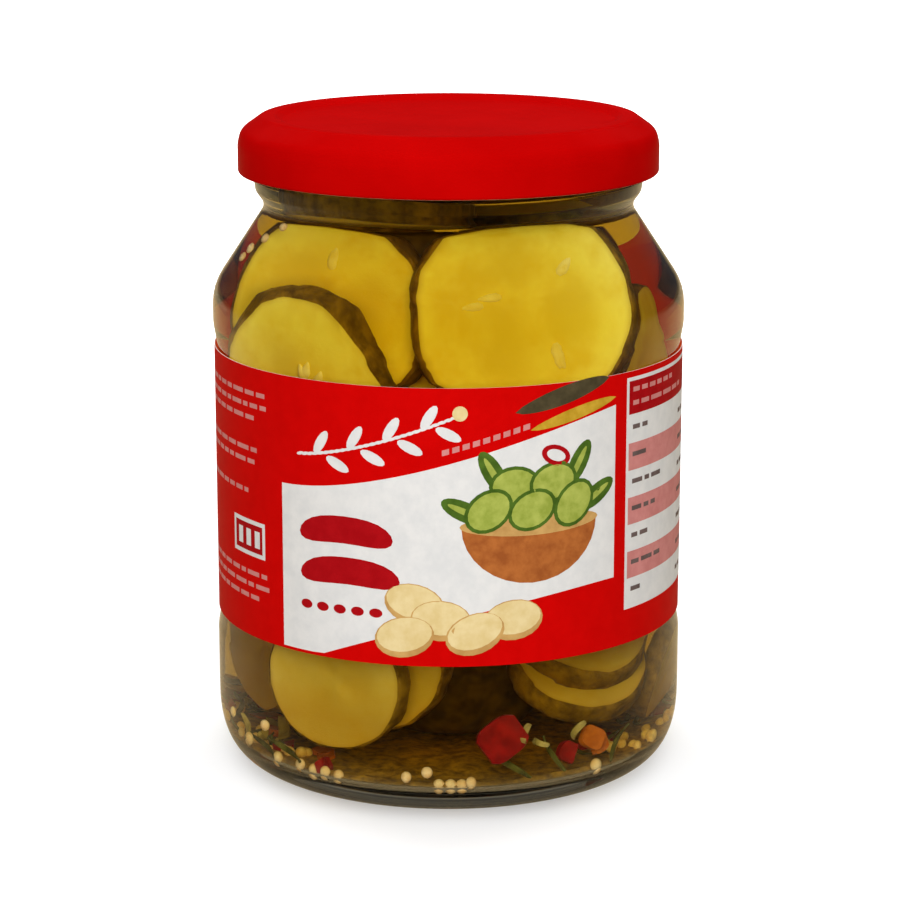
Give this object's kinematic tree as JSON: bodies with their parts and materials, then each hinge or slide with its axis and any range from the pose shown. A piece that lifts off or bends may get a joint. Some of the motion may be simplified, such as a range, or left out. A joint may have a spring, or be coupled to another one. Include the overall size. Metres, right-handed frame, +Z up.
{
  "type": "pickle jar",
  "caption": "Shut clear glass jar of sliced gherkins in brine, with a red steel twist-off lid and a wrap-round paper label, standing on the ring under its base.",
  "frame": {"origin": "centre of the ring that the jar stands on, at floor level", "axes": "+Z up along the jar's axis, -Y towards the front of the label, +X to the right of the label"},
  "size_m": [0.078, 0.078, 0.1081],
  "materials": {
    "clear_glass": "polished",
    "red_enamel": "gloss enamel on steel",
    "printed_paper": "satin printed paper",
    "pickled_gherkin": "wet"
  },
  "bodies": {
    "root": {"jar": "clear_glass", "lid": "red_enamel", "label": "printed_paper", "gherkins": "pickled_gherkin"}
  },
  "joints": []
}
